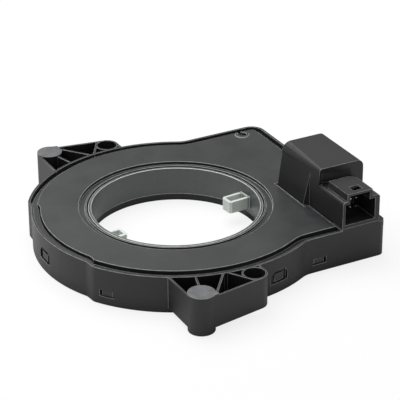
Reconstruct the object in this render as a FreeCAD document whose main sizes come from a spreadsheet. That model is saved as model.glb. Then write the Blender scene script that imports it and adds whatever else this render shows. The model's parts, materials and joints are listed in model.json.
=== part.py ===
import FreeCAD, Part
import math
import os
import re
import Sketcher

# A steering angle sensor: a flat ring-shaped housing round the steering shaft.
# A toothed drive ring turns with the shaft inside it and drives two small gears.
# Each small gear carries a magnet under an angle sensor on the circuit board.
# Millimetres. The origin is on the shaft's axis at the housing's underside, with
# +Z up through the lid and +X towards the extension that holds the connector.

UP = FreeCAD.Vector(0, 0, 1)
HOME = FreeCAD.Vector(0, 0, 0)

SIZES = [
    ("outer_radius", 50.0, "outside of the round wall"),
    ("reach", 56.0, "axis to the end wall of the extension"),
    ("half_width", 43.2, "axis to each side wall of the extension"),
    ("rim_height", 12.75, "underside to the rim"),
    ("wall", 2.2, "side wall below the lid's ledge"),
    ("rim_width", 0.85, "side wall beside the lid"),
    ("floor_thickness", 1.6, "floor of the tray"),
    ("ledge_height", 10.7, "underside to the ledge that carries the lid"),
    ("rear_corner", 5.0, "rounding of the rear corner of the extension"),
    ("front_corner", 2.5, "rounding of the front corner of the extension"),
    ("neck_blend", 8.0, "rounding where the extension leaves the round wall"),
    ("recess_angle", 53.2, "sector where the round wall steps in"),
    ("recess_depth", 1.6, "how far the wall steps in there"),
    ("recess_slant", 22.0, "slant of the two steps outside"),
    ("lid_slant", 40.0, "slant of the lid's edge beside them"),
    ("recess_blend", 4.0, "rounding of the slanted steps"),
    ("recess_rim", 2.6, "wall's width at the lid in that sector"),
    ("shelf_height", 12.25, "underside to the shelf inside the rim there"),
    ("recess_ledge", 1.0, "ledge under the lid there"),
    ("shaft_radius", 28.8, "hole in the floor for the shaft"),
    ("collar_height", 2.4, "raised seat round that hole"),
    ("bearing_wall", 1.4, "ring that guides the foot of the drive ring"),
    ("bearing_height", 3.5, "underside to the top of that ring"),
    ("ring_bore", 28.4, "inside of the drive ring"),
    ("ring_wall", 1.0, "thickness of the drive ring's tube"),
    ("ring_top", 12.55, "underside of the housing to the tube's top"),
    ("running_gap", 0.2, "gap between the drive ring and what guides it"),
    ("tooth_module", 1.0, "tooth size of the gears"),
    ("ring_teeth", 68, "teeth round the drive ring"),
    ("gear_a_teeth", 18, "teeth of the first measuring gear"),
    ("gear_b_teeth", 17, "teeth of the second measuring gear"),
    ("backlash", 0.12, "how much thinner each tooth is than its gap"),
    ("mesh_bottom", 3.8, "underside to the teeth"),
    ("face_width", 2.5, "height of the teeth"),
    ("gear_angle", 25.0, "direction of each measuring gear from +X"),
    ("tab_angle", 5.0, "direction of the first drive tab at rest"),
    ("tab_width", 5.2, "width of a drive tab"),
    ("tab_tip", 20.3, "axis to the tip of a tab"),
    ("tab_wall", 1.0, "wall round the pocket in a tab"),
    ("tab_bevel", 0.7, "bevelled corners of a tab's tip"),
    ("tab_bottom", 4.4, "underside of the housing to a tab"),
    ("tab_top", 8.7, "underside of the housing to a tab's top"),
    ("lid_gap", 0.45, "gap round the lid"),
    ("flange_drop", 1.3, "how far the lid's flange lies below the rim"),
    ("crown_inset", 3.5, "outside wall to the raised middle of the lid"),
    ("crown_rise", 0.35, "how far that middle stands above the rim"),
    ("bore_gap", 0.5, "gap between the drive ring and the lid's bore"),
    ("lip_width", 0.65, "ring round the lid's bore"),
    ("lip_drop", 0.3, "how far the ring lies below the middle"),
    ("groove_width", 2.05, "groove outside that ring"),
    ("groove_depth", 1.1, "depth of that groove"),
    ("post_x", -20.8, "solid post of an ear, along X"),
    ("post_y", 57.2, "solid post of an ear, from the axis"),
    ("post_radius", 4.4, "radius of the post"),
    ("post_top", 13.3, "underside to the post's top"),
    ("screw_x", 0.0, "screw tube of an ear, along X"),
    ("screw_y", 53.6, "screw tube of an ear, from the axis"),
    ("screw_radius", 3.45, "hole for the fixing screw"),
    ("tube_wall", 0.65, "wall of the screw tube"),
    ("ear_bottom", 1.7, "underside of the housing to the ear's underside"),
    ("ear_floor", 1.2, "floor of the ear's pockets"),
    ("rib", 0.7, "walls and ribs of an ear"),
    ("wedge_x", -16.3, "solid corner between post and outer wall, along X"),
    ("deck_left", 37.2, "edge of the deck beside the hood"),
    ("deck_step", 1.6, "how much narrower the deck is beside the shroud"),
    ("deck_rear", -3.4, "rear edge of the deck"),
    ("step_y", -22.3, "where hood and deck step in"),
    ("hood_foot", 37.3, "foot of the hood's slanted wall"),
    ("hood_left", 38.9, "upright part of the hood's wall"),
    ("hood_slant_top", 24.9, "top of the slanted wall"),
    ("hood_rear", -3.9, "rear wall of the hood"),
    ("hood_front", -28.2, "front wall of the hood"),
    ("hood_top", 28.7, "underside of the housing to the hood's top"),
    ("hood_left_round", 3.4, "rounding of the hood's long left edge at the rear"),
    ("hood_left_tight", 1.0, "rounding of that edge at the front"),
    ("hood_right_round", 2.4, "rounding of the hood's long right edge"),
    ("hood_wall", 1.8, "wall of the hood"),
    ("hood_front_wall", 2.8, "front wall of the hood, which holds the contacts"),
    ("shroud_left", 38.9, "left side of the connector shroud"),
    ("shroud_right", 53.1, "right side of the connector shroud"),
    ("shroud_top", 23.0, "shoulder of the shroud"),
    ("shroud_round", 1.0, "rounding of the shroud's long edges"),
    ("mouth_left", 39.85, "left side of the connector's mouth"),
    ("mouth_width", 11.4, "width of the mouth"),
    ("mouth_floor", 14.6, "floor of the mouth"),
    ("mouth_height", 7.4, "height of the mouth"),
    ("mouth_back", -30.2, "back wall of the mouth"),
    ("latch_left", 40.5, "left side of the latch housing"),
    ("latch_width", 9.6, "width of the latch housing"),
    ("latch_top", 25.6, "top of the latch housing"),
    ("latch_rear", -31.5, "rear edge of the latch housing"),
    ("latch_wall", 1.0, "side wall of the latch housing"),
    ("latch_roof", 0.75, "roof of the latch housing"),
    ("latch_round", 2.6, "rounded rear corner of the latch roof"),
    ("catch_width", 3.5, "window in the latch roof, across"),
    ("catch_length", 2.8, "window in the latch roof, along"),
    ("catch_front", 1.9, "mouth to the window"),
    ("relief_depth", 1.2, "relief in the hood behind the latch roof, at its left"),
    ("relief_top", 26.8, "top of that relief"),
    ("pin_pitch", 2.2, "contacts, side to side"),
    ("pin_rows", 3.03, "contacts, row to row"),
    ("pin_low", 17.25, "lower row of contacts"),
    ("pin_tip", -37.2, "tips of the contacts"),
    ("pin_size", 0.64, "square contact"),
    ("pin_drop_low", -23.4, "where the lower row turns down"),
    ("pin_drop_high", -20.4, "where the upper row turns down"),
    ("pin_tail", 0.7, "contact below the board"),
    ("window_width", 5.0, "snap window in the wall"),
    ("window_bottom", 2.9, "bottom of a snap window"),
    ("window_height", 2.2, "height of a snap window"),
    ("window_gap", 0.5, "gap round the hook in its window"),
    ("window_angle", 143.5, "direction of the windows in the round wall"),
    ("window_x", 30.4, "windows in the side walls, along X"),
    ("hook_thickness", 1.0, "arm of a snap hook"),
    ("arm_width", 3.4, "width of that arm"),
    ("hook_sink", 0.5, "hook's face below the wall's face"),
    ("arch_width", 7.4, "arched recess in the wall"),
    ("arch_bottom", 3.7, "bottom of that recess"),
    ("arch_height", 4.5, "height of that recess"),
    ("arch_shoulder", 1.5, "slanted corners of the arch"),
    ("arch_depth", 1.0, "depth of that recess"),
    ("arch_angle", 76.0, "direction of the recesses beside the ears"),
    ("board_bottom", 8.0, "underside of the circuit board"),
    ("board_thickness", 1.2, "thickness of the circuit board"),
    ("board_gap", 1.6, "board to the side walls, with room for the snap arms"),
    ("board_round", 36.2, "hollow edge of the board round the axis"),
    ("board_start", 28.0, "inner edge of the board's arms"),
    ("stake_radius", 1.0, "pin of a board stake"),
    ("stake_foot", 2.0, "column of a board stake"),
    ("stake_x", 30.5, "inner stakes, along X"),
    ("stake_y", 37.0, "stakes, from the axis"),
    ("stake_far", 50.5, "outer front stake, along X"),
    ("lid_stake_x", 46.4, "tall stake that comes through the lid"),
    ("spigot_radius", 1.5, "pin that a measuring gear turns on"),
    ("spigot_top", 4.6, "underside of the housing to that pin's top"),
    ("spigot_gap", 0.08, "running gap round that pin"),
    ("gear_foot", 1.8, "underside of the housing to a measuring gear"),
    ("gear_hub", 3.0, "hub of a measuring gear"),
    ("magnet_side", 4.8, "side of a square magnet"),
    ("magnet_height", 1.6, "height of a magnet"),
    ("magnet_top", 6.6, "underside of the housing to a magnet's top"),
    ("glue_gap", 0.05, "glue round a magnet"),
    ("end_play", 0.2, "room above and below the turning pieces"),
    ("arm_gap", 0.1, "snap arm to the wall it lies against"),
    ("lid_hole", 1.6, "hole in the lid for the tall stake"),
    ("lid_hole_ring", 1.0, "raised ring round that hole"),
    ("lid_hole_rise", 0.25, "height of that ring"),
    ("lid_notch", 1.5, "notch from that hole to the lid's edge"),
    ("stake_head", 0.8, "stake above the board"),
    ("fit_gap", 0.1, "board's holes round stakes and contacts"),
    ("chip_height", 1.0, "angle sensor chips under the board"),
    ("chip_length", 5.0, "angle sensor chips, along X"),
    ("chip_width", 4.4, "angle sensor chips, along Y"),
    ("rib_a_foot_x", -17.5, "rib beside the post"),
    ("rib_a_foot_y", 47.2, "rib beside the post"),
    ("rib_a_end_x", -19.8, "rib beside the post"),
    ("rib_a_end_y", 55.0, "rib beside the post"),
    ("rib_b_foot_x", -8.5, "long slanted rib"),
    ("rib_b_foot_y", 48.8, "long slanted rib"),
    ("rib_b_end_x", -16.5, "long slanted rib"),
    ("rib_b_end_y", 59.0, "long slanted rib"),
    ("rib_c_foot_x", -7.4, "slanted rib beside the tube"),
    ("rib_c_foot_y", 48.8, "slanted rib beside the tube"),
    ("rib_c_end_x", -2.0, "slanted rib beside the tube"),
    ("rib_c_end_y", 57.6, "slanted rib beside the tube"),
]

# Parts of the circuit: middle along X and Y, then length, width and height.
CIRCUIT = [
    ("microcontroller", 44.0, 6.0, 7.0, 7.0, 1.1),
    ("transceiver", 43.4, -2.4, 5.0, 4.0, 1.1),
    ("voltage_regulator", 48.3, -13.0, 6.6, 6.2, 2.3),
    ("common_mode_choke", 42.6, -12.5, 3.2, 4.5, 2.6),
    ("suppressor_diode", 50.6, -21.9, 2.6, 4.3, 2.2),
    ("resonator", 44.0, 15.5, 3.2, 2.5, 0.8),
    ("capacitor_1", 49.8, 3.5, 1.3, 2.0, 0.9),
    ("capacitor_2", 49.8, 7.5, 1.3, 2.0, 0.9),
    ("capacitor_3", 38.4, 5.0, 1.3, 2.0, 0.9),
    ("capacitor_4", 42.0, 22.5, 2.0, 1.3, 0.9),
    ("capacitor_5", 46.5, 22.5, 2.0, 1.3, 0.9),
    ("resistor_1", 38.2, -1.6, 0.8, 1.6, 0.5),
    ("resistor_2", 39.8, -1.6, 0.8, 1.6, 0.5),
    ("resistor_3", 49.4, -2.4, 0.8, 1.6, 0.5),
    ("resistor_4", 42.0, 28.5, 1.6, 0.8, 0.5),
    ("resistor_5", 45.5, 28.5, 1.6, 0.8, 0.5),
]
for label, middle_x, middle_y, length, width, height in CIRCUIT:
    SIZES.append((label + "_x", middle_x, "middle of the " + label + " along X"))
    SIZES.append((label + "_y", middle_y, "middle of the " + label + " along Y"))
    SIZES.append((label + "_length", length, label + " along X"))
    SIZES.append((label + "_width", width, label + " along Y"))
    SIZES.append((label + "_height", height, label + " above the board"))

doc = FreeCAD.newDocument("steering_angle_sensor")
sheet = doc.addObject("Spreadsheet::Sheet", "sizes")
for row, (alias, number, meaning) in enumerate(SIZES, start=1):
    sheet.set("A%d" % row, alias)
    sheet.set("B%d" % row, str(number))
    sheet.setAlias("B%d" % row, alias)
    sheet.set("C%d" % row, meaning)
doc.recompute()

NAMES = [alias for alias, number, meaning in SIZES]
NAME_PATTERN = re.compile(r"\b(" + "|".join(NAMES) + r")\b")


def size(alias):
    """The number in a cell of the sheet."""
    return float(sheet.get(alias))


def bind(item, prop, formula):
    """Tie a property of an object to a formula in the sheet's sizes."""
    item.setExpression(prop, NAME_PATTERN.sub(r"sizes.\1", str(formula)))


def place(item, x="0", y="0", z="0", turn=None):
    """Put an object at a formula's place, turned about Z if asked."""
    if turn is not None:
        item.Placement = FreeCAD.Placement(HOME, FreeCAD.Rotation(UP, 1.0))
        bind(item, "Placement.Rotation.Angle", turn)
    bind(item, "Placement.Base.x", x)
    bind(item, "Placement.Base.y", y)
    bind(item, "Placement.Base.z", z)


def block(name, x, y, z):
    """A box between two formulas along each axis."""
    item = doc.addObject("Part::Box", name)
    bind(item, "Length", "(%s) - (%s)" % (x[1], x[0]))
    bind(item, "Width", "(%s) - (%s)" % (y[1], y[0]))
    bind(item, "Height", "(%s) - (%s)" % (z[1], z[0]))
    place(item, x[0], y[0], z[0])
    return item


def disc(name, radius, z, x="0", y="0"):
    """An upright cylinder between two heights."""
    item = doc.addObject("Part::Cylinder", name)
    bind(item, "Radius", radius)
    bind(item, "Height", "(%s) - (%s)" % (z[1], z[0]))
    place(item, x, y, z[0])
    return item


def prism(name, radius, sides, z, x="0", y="0"):
    """An upright prism with a regular outline between two heights."""
    item = doc.addObject("Part::Prism", name)
    item.Polygon = sides
    bind(item, "Circumradius", radius)
    bind(item, "Height", "(%s) - (%s)" % (z[1], z[0]))
    place(item, x, y, z[0])
    return item


def fuse(name, items):
    item = doc.addObject("Part::MultiFuse", name)
    item.Shapes = items
    item.Refine = True
    return item


def joined(name, items):
    """Forms fused one after another, which suits forms that share many faces."""
    whole = items[0]
    for number, item in enumerate(items[1:], start=1):
        step = doc.addObject("Part::Fuse", "%s_%d" % (name, number))
        step.Base = whole
        step.Tool = item
        step.Refine = True
        whole = step
    return whole


def cut(name, base, tool):
    item = doc.addObject("Part::Cut", name)
    item.Base = base
    item.Tool = tool
    item.Refine = True
    return item


def mirrored(name, source):
    """The same form on the other side of the X and Z plane."""
    item = doc.addObject("Part::Mirroring", name)
    item.Source = source
    item.Base = HOME
    item.Normal = FreeCAD.Vector(0, 1, 0)
    return item


def rounded(name, base, radius, chosen):
    """Round the edges of a finished form that the test picks."""
    doc.recompute()
    picks = [n for n, edge in enumerate(base.Shape.Edges, start=1) if chosen(edge)]
    assert picks, name + " rounds no edge"
    item = doc.addObject("Part::Fillet", name)
    item.Base = base
    item.Edges = [(n, radius, radius) for n in picks]
    return item


def upright_at(x, y, reach=0.6):
    """A test for the vertical edge that stands near a place."""
    def chosen(edge):
        first, last = edge.Vertexes[0].Point, edge.Vertexes[-1].Point
        level = math.hypot(first.x - last.x, first.y - last.y)
        away = math.hypot(first.x - x, first.y - y)
        return level < 0.01 and away < reach and abs(first.z - last.z) > 0.1
    return chosen


def outline(body, name, plane, corners, offset="0"):
    """A closed outline in a body, whose corners are held by formulas."""
    sketch = body.newObject("Sketcher::SketchObject", name + "_outline")
    role = [o for o in body.Origin.OriginFeatures if o.Role == plane][0]
    sketch.AttachmentSupport = [(role, "")]
    sketch.MapMode = "FlatFace"
    bind(sketch, "AttachmentOffset.Base.z", offset)
    count = len(corners)
    start = []
    for n in range(count):
        angle = 2 * math.pi * n / count
        start.append(FreeCAD.Vector(30 * math.cos(angle), 30 * math.sin(angle), 0))
    for n in range(count):
        sketch.addGeometry(Part.LineSegment(start[n], start[(n + 1) % count]), False)
    for n in range(count):
        sketch.addConstraint(Sketcher.Constraint("Coincident", n, 2, (n + 1) % count, 1))
    for n, (across, up) in enumerate(corners):
        for kind, formula, now in (("DistanceX", across, start[n].x), ("DistanceY", up, start[n].y)):
            held = sketch.addConstraint(Sketcher.Constraint(kind, -1, 1, n, 1, now))
            bind(sketch, "Constraints[%d]" % held, formula)
    return sketch


def padded(name, plane, corners, length, offset="0"):
    """A body made by padding an outline along its plane's normal."""
    body = doc.addObject("PartDesign::Body", name)
    sketch = outline(body, name, plane, corners, offset)
    pad = body.newObject("PartDesign::Pad", name + "_pad")
    pad.Profile = sketch
    bind(pad, "Length", length)
    return body


def turned(name, corners):
    """A body made by turning an outline, given as radius and height, about Z."""
    body = doc.addObject("PartDesign::Body", name)
    sketch = outline(body, name, "XZ_Plane", corners)
    turn = body.newObject("PartDesign::Revolution", name + "_turn")
    turn.Profile = sketch
    turn.ReferenceAxis = (sketch, ["V_Axis"])
    turn.Angle = 360.0
    return body


def turned_block(name, x, y, z, turn):
    """A box given in a direction's own frame, turned about the axis."""
    item = block(name, x, y, z)
    along = "(%s) * cos(%s) - (%s) * sin(%s)" % (x[0], turn, y[0], turn)
    aside = "(%s) * sin(%s) + (%s) * cos(%s)" % (x[0], turn, y[0], turn)
    place(item, along, aside, z[0], turn)
    return item


def recess_step(name, inner, slant, z):
    """The room outside the recessed wall, which has two slanted ends."""
    half = "(recess_angle / 2)"
    lean = "(recess_angle / 2 - %s)" % slant
    near_x = "-(%s) * cos(%s)" % (inner, half)
    near_y = "(%s) * sin(%s)" % (inner, half)
    far_x = near_x + " + outer_radius / 3 * sin(%s)" % lean
    far_y = near_y + " + outer_radius / 3 * cos(%s)" % lean
    corners = [
        (near_x, near_y),
        (far_x, far_y),
        ("-outer_radius - 12", far_y),
        ("-outer_radius - 12", "-(%s)" % far_y),
        (far_x, "-(%s)" % far_y),
        (near_x, "-(%s)" % near_y),
    ]
    wedge = padded(name + "_wedge", "XY_Plane", corners, "(%s) - (%s)" % (z[1], z[0]), z[0])
    core = disc(name + "_core", inner, ("(%s) - 1" % z[0], "(%s) + 1" % z[1]))
    return cut(name, wedge, core)


def plain_plan(name, inset, z):
    """The round and the extension between two heights, drawn in from outside."""
    edge = "half_width - (%s)" % inset
    wing = block(name + "_wing", ("0", "reach - (%s)" % inset), ("-(%s)" % edge, edge), z)
    doc.recompute()
    end = wing.Length.Value
    side = wing.Width.Value / 2
    drawn_in = size("reach") - end
    rear = max(size("rear_corner") - drawn_in, 0.5)
    front = max(size("front_corner") - drawn_in, 0.5)
    wing = rounded(name + "_wing_rear", wing, rear, upright_at(end, side))
    wing = rounded(name + "_wing_front", wing, front, upright_at(end, -side))
    ring = disc(name + "_round", "outer_radius - (%s)" % inset, z)
    whole = fuse(name + "_whole", [ring, wing])
    radius = size("outer_radius") - drawn_in
    neck = math.sqrt(radius ** 2 - side ** 2)
    blend = size("neck_blend") + drawn_in
    whole = rounded(name + "_neck_rear", whole, blend, upright_at(neck, side))
    return rounded(name + "_neck_front", whole, blend, upright_at(neck, -side))


def plan(name, inset, z, recess_inset, slant="recess_slant"):
    """The tray's whole outline between two heights, with the recessed wall."""
    whole = plain_plan(name, inset, z)
    doc.recompute()
    radius = doc.getObject(name + "_round").Radius.Value
    drawn_in = size("outer_radius") - radius
    tall = ("(%s) - 1" % z[0], "(%s) + 1" % z[1])
    inner = "outer_radius - recess_depth - (%s)" % recess_inset
    step = recess_step(name + "_step", inner, slant, tall)
    whole = cut(name + "_stepped", whole, step)
    doc.recompute()
    core = step.Tool.Radius.Value
    half = math.radians(size("recess_angle")) / 2
    lean = math.radians(size(slant))
    along = math.sqrt(radius ** 2 - (core * math.cos(lean)) ** 2) - core * math.sin(lean)
    near = (core * math.cos(half), core * math.sin(half))
    far = (near[0] - along * math.sin(half - lean), near[1] + along * math.cos(half - lean))
    hollow = size("recess_blend") + drawn_in
    crest = max(size("recess_blend") - drawn_in, 0.5)
    for label, side in (("rear", 1), ("front", -1)):
        whole = rounded(name + "_hollow_" + label, whole, hollow, upright_at(-near[0], side * near[1]))
        whole = rounded(name + "_crest_" + label, whole, crest, upright_at(-far[0], side * far[1]))
    return whole


def finish(item, label):
    """Name a sub-part as it is handed in."""
    item.Label = label
    FINISHED.append(item)
    return item


FINISHED = []
RING_OUTER = "(ring_bore + ring_wall)"
GUIDE = "(ring_bore + ring_wall + running_gap)"

# The tray: outside, room for the mechanism, and the ledge that carries the lid.
outside = plan("outside", "0", ("0", "rim_height"), "0")
above = "rim_height + 1"
inner_wall = "recess_rim + recess_ledge"
tray_room = plan("tray_room", "wall", ("floor_thickness", above), inner_wall, "lid_slant")
lid_room = plan("lid_room", "rim_width", ("ledge_height", above), "recess_rim", "lid_slant")
rim_room = plan("rim_room", "rim_width", ("shelf_height", above), "rim_width")
tray = cut("tray", outside, joined("rooms", [tray_room, lid_room, rim_room]))

# The deck beside the hood, and the hood over the contacts.
deck_rear = block(
    "deck_rear_part",
    ("deck_left", "reach - rim_width"),
    ("step_y", "deck_rear"),
    ("ledge_height", "rim_height"),
)
deck_front = block(
    "deck_front_part",
    ("deck_left + deck_step", "reach - rim_width"),
    ("-half_width + rim_width / 2", "step_y"),
    ("ledge_height", "rim_height"),
)
hood_block = block("hood_block", ("hood_left", "reach"), ("hood_front", "hood_rear"), ("ledge_height", "hood_top"))
hood_skirt = padded(
    "hood_skirt",
    "XZ_Plane",
    [
        ("hood_foot", "ledge_height"),
        ("hood_left + 1", "ledge_height"),
        ("hood_left + 1", "hood_slant_top - 1"),
        ("hood_left", "hood_slant_top"),
        ("hood_foot", "rim_height"),
    ],
    "hood_rear - step_y",
    "-hood_rear",
)
skirt_corner = padded(
    "skirt_corner",
    "XY_Plane",
    [
        ("hood_left - 4", "step_y - 1"),
        ("hood_left + 1", "step_y - 1"),
        ("hood_left - 4", "step_y + 4"),
    ],
    "hood_top",
)
hood_skirt = cut("hood_skirt_cut", hood_skirt, skirt_corner)


def long_edge(x, z, reach=0.7):
    """A test for an edge that runs along Y near a place in X and Z."""
    def chosen(edge):
        box = edge.BoundBox
        flat = box.XLength < 0.01 and box.ZLength < 0.01 and box.YLength > 1.0
        return flat and math.hypot(box.XMin - x, box.ZMin - z) < reach
    return chosen


def facet(name, angle):
    """A tapered cutter for one facet of the left rounding, which widens rearwards."""
    share = "(cos(%s) + sin(%s) - 1)" % (angle, angle)
    item = doc.addObject("Part::Wedge", name)
    bind(item, "Xmin", "-hood_left_round * 2")
    bind(item, "X2min", "-hood_left_round * 2")
    bind(item, "Xmax", "hood_left_round * 2")
    bind(item, "X2max", "hood_left_round * 2")
    bind(item, "Ymin", "0")
    bind(item, "Ymax", "hood_rear - hood_front + 2")
    bind(item, "Zmin", "-hood_left_round")
    bind(item, "Z2min", "-hood_left_round")
    bind(item, "Zmax", "hood_left_tight * " + share)
    bind(item, "Z2max", "hood_left_round * " + share)
    item.Placement = FreeCAD.Placement(HOME, FreeCAD.Rotation(FreeCAD.Vector(0, 1, 0), 1.0))
    bind(item, "Placement.Rotation.Angle", "90 + " + angle)
    bind(item, "Placement.Base.x", "hood_left")
    bind(item, "Placement.Base.y", "hood_front - 1")
    bind(item, "Placement.Base.z", "hood_top")
    return item


top_right = long_edge(size("reach"), size("hood_top"))
hood_block = rounded("hood_block_right", hood_block, size("hood_right_round"), top_right)
for number, angle in enumerate(("18", "36", "54", "72"), start=1):
    cutter = facet("hood_facet_%d" % number, angle)
    hood_block = cut("hood_block_cut_%d" % number, hood_block, cutter)
hood = joined("hood", [hood_block, hood_skirt])

# The connector's shroud in front of the hood, with the latch housing on top.
shroud = block(
    "shroud_block",
    ("shroud_left", "shroud_right"),
    ("-half_width", "hood_front + 1"),
    ("ledge_height", "shroud_top"),
)
shroud_left_edge = long_edge(size("shroud_left"), size("shroud_top"))
shroud_right_edge = long_edge(size("shroud_right"), size("shroud_top"))
shroud = rounded("shroud_left_side", shroud, size("shroud_round"), shroud_left_edge)
shroud = rounded("shroud_right_side", shroud, size("shroud_round"), shroud_right_edge)
latch = block(
    "latch_block",
    ("latch_left", "latch_left + latch_width"),
    ("-half_width", "latch_rear"),
    ("shroud_top - 1", "latch_top"),
)
latch_corner = upright_at(size("latch_left") + size("latch_width"), size("latch_rear"))
latch = rounded("latch_housing", latch, size("latch_round"), latch_corner)
mouth = block(
    "mouth",
    ("mouth_left", "mouth_left + mouth_width"),
    ("-half_width - 1", "mouth_back"),
    ("mouth_floor", "mouth_floor + mouth_height"),
)
channel = block(
    "channel",
    ("latch_left + latch_wall", "latch_left + latch_width - latch_wall"),
    ("-half_width - 1", "mouth_back"),
    ("mouth_floor + mouth_height - 1", "latch_top - latch_roof"),
)
middle = "(mouth_left + mouth_width / 2)"
catch = block(
    "catch_window",
    (middle + " - catch_width / 2", middle + " + catch_width / 2"),
    ("-half_width + catch_front", "-half_width + catch_front + catch_length"),
    ("latch_top - latch_roof - 1", "latch_top + 1"),
)
relief = padded(
    "relief",
    "XY_Plane",
    [
        ("latch_left - latch_wall / 2", "hood_front - 1"),
        ("latch_left + latch_width + 1", "hood_front - 1"),
        ("latch_left + latch_width + 1", "hood_front"),
        ("latch_left - latch_wall / 2", "hood_front + relief_depth"),
    ],
    "relief_top - shroud_top",
    "shroud_top",
)
hood_room = block(
    "hood_room",
    ("hood_left + hood_wall", "reach - hood_wall"),
    ("hood_front + hood_front_wall", "hood_rear - hood_wall"),
    ("ledge_height - 1", "hood_top - hood_wall"),
)

# The contacts go straight back through the hood's front wall, then down.
COLUMNS = [middle + " - pin_pitch", middle, middle + " + pin_pitch"]
ROWS = [("upper", "(pin_low + pin_rows)", "pin_drop_high"), ("lower", "pin_low", "pin_drop_low")]
slots = []
for row_name, pin_z, drop in ROWS:
    for number, pin_x in enumerate(COLUMNS, start=1):
        slots.append(block(
            "slot_%s_%d" % (row_name, number),
            (pin_x + " - pin_size / 2", pin_x + " + pin_size / 2"),
            ("mouth_back - 1", "hood_front + hood_front_wall + 1"),
            (pin_z + " - pin_size / 2", pin_z + " + pin_size / 2"),
        ))

# The ears that fix the sensor: a solid post, a screw tube and thin ribs.
LEAN = "atan((post_y - screw_y) / (screw_x - post_x))"
TUBE = "(screw_radius + tube_wall)"
EAR_LEFT = "post_x - post_radius"
EAR_RIGHT = "screw_x + " + TUBE


def ear_outline(name, inset, z):
    """The outline of an ear between two heights, drawn in by a formula."""
    depth = "(%s - (%s))" % (TUBE, inset)
    corners = [
        (EAR_LEFT + " + (%s)" % inset, "outer_radius - 12"),
        (EAR_RIGHT + " - (%s)" % inset, "outer_radius - 12"),
        (EAR_RIGHT + " - (%s)" % inset, "screw_y + %s * (1 - sin(%s)) / cos(%s)" % (depth, LEAN, LEAN)),
        ("post_x + sin(%s) * %s" % (LEAN, depth), "post_y + cos(%s) * %s" % (LEAN, depth)),
        (EAR_LEFT + " + (%s)" % inset, "post_y"),
    ]
    return padded(name, "XY_Plane", corners, "(%s) - (%s)" % (z[1], z[0]), z[0])


def rib(name):
    """A thin upright rib of an ear between two places in plan."""
    along = "({0}_end_x - {0}_foot_x)".format(name)
    aside = "({0}_end_y - {0}_foot_y)".format(name)
    angle = "atan2(%s; %s)" % (aside, along)
    item = doc.addObject("Part::Box", name + "_wall")
    bind(item, "Length", "sqrt(%s^2 + %s^2)" % (along, aside))
    bind(item, "Width", "rib")
    bind(item, "Height", "rim_height")
    foot_x = name + "_foot_x + sin(%s) * rib / 2" % angle
    foot_y = name + "_foot_y - cos(%s) * rib / 2" % angle
    place(item, foot_x, foot_y, "ear_bottom", angle)
    return item


ear_block = ear_outline("ear_block", "0", ("ear_bottom", "rim_height"))
tube = size("screw_radius") + size("tube_wall")
lean = math.atan((size("post_y") - size("screw_y")) / (size("screw_x") - size("post_x")))
corner_y = size("screw_y") + tube * (1 - math.sin(lean)) / math.cos(lean)
ear_form = rounded("ear_form", ear_block, tube, upright_at(size("screw_x") + tube, corner_y))
wall_x = "post_x + sin(%s) * %s" % (LEAN, TUBE)
wall_y = "post_y + cos(%s) * %s" % (LEAN, TUBE)
wedge = padded(
    "post_wedge",
    "XY_Plane",
    [
        ("post_x", "post_y"),
        ("wedge_x - rib / 2", "post_y - rib"),
        ("wedge_x", "%s - tan(%s) * (wedge_x - (%s)) - rib / 4" % (wall_y, LEAN, wall_x)),
        (wall_x, wall_y + " - rib / 4"),
    ],
    "post_top - ear_bottom",
    "ear_bottom",
)
tube_form = disc("tube", TUBE, ("0", "rim_height + 2"), "screw_x", "screw_y")
between = joined("between_pockets", [tube_form, rib("rib_a"), rib("rib_b"), rib("rib_c")])
ear_room = ear_outline("ear_room", "rib", ("ear_bottom + ear_floor", "rim_height + 1"))
ear_walls = cut("ear_walls", ear_form, cut("ear_pockets", ear_room, between))
post = disc("post", "post_radius", ("0", "post_top"), "post_x", "post_y")
ear = joined("ear_whole", [ear_walls, wedge, post])
ear_core = disc("ear_core", "outer_radius - wall / 2", ("-1", "rim_height + 2"))
screw_hole = disc("screw_hole", "screw_radius", ("-1", "rim_height + 1"), "screw_x", "screw_y")
ear_rear = cut("ear_rear", ear, fuse("ear_tools", [ear_core, screw_hole]))
ear_front = mirrored("ear_front", ear_rear)

# Inside: the guide for the drive ring, the gears' pins and the board's stakes.
guide_block = prism("guide_block", GUIDE + " + bearing_wall", 24, ("floor_thickness / 2", "bearing_height"))
guide_room = prism("guide_room", GUIDE + " / cos(7.5)", 24, ("collar_height", "bearing_height + 1"))
guide = cut("guide", guide_block, guide_room)
shaft_hole = disc("shaft_hole", "shaft_radius", ("-1", "bearing_height + 2"))
GEARS = [
    ("a", "gear_angle", "gear_a_teeth"),
    ("b", "-gear_angle", "gear_b_teeth"),
]


def gear_place(direction, teeth):
    """Formulas for the middle of a measuring gear."""
    apart = "(tooth_module * (ring_teeth + %s) / 2)" % teeth
    return apart + " * cos(%s)" % direction, apart + " * sin(%s)" % direction


pins = []
for letter, direction, teeth in GEARS:
    pin_x, pin_y = gear_place(direction, teeth)
    inside = "floor_thickness / 2"
    pins.append(prism("spigot_" + letter, "spigot_radius", 12, (inside, "spigot_top"), pin_x, pin_y))
BOARD_TOP = "(board_bottom + board_thickness)"
STAKES = [
    ("stake_x", "stake_y", BOARD_TOP + " + stake_head"),
    ("stake_x", "-stake_y", BOARD_TOP + " + stake_head"),
    ("stake_far", "-stake_y", BOARD_TOP + " + stake_head"),
    ("lid_stake_x", "stake_y", "rim_height"),
]
for number, (stake_x, stake_y, stake_top) in enumerate(STAKES, start=1):
    inside = "floor_thickness / 2"
    pins.append(prism("stake_foot_%d" % number, "stake_foot", 8, (inside, "board_bottom"), stake_x, stake_y))
    pins.append(prism("stake_pin_%d" % number, "stake_radius", 8, (inside, stake_top), stake_x, stake_y))

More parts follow.
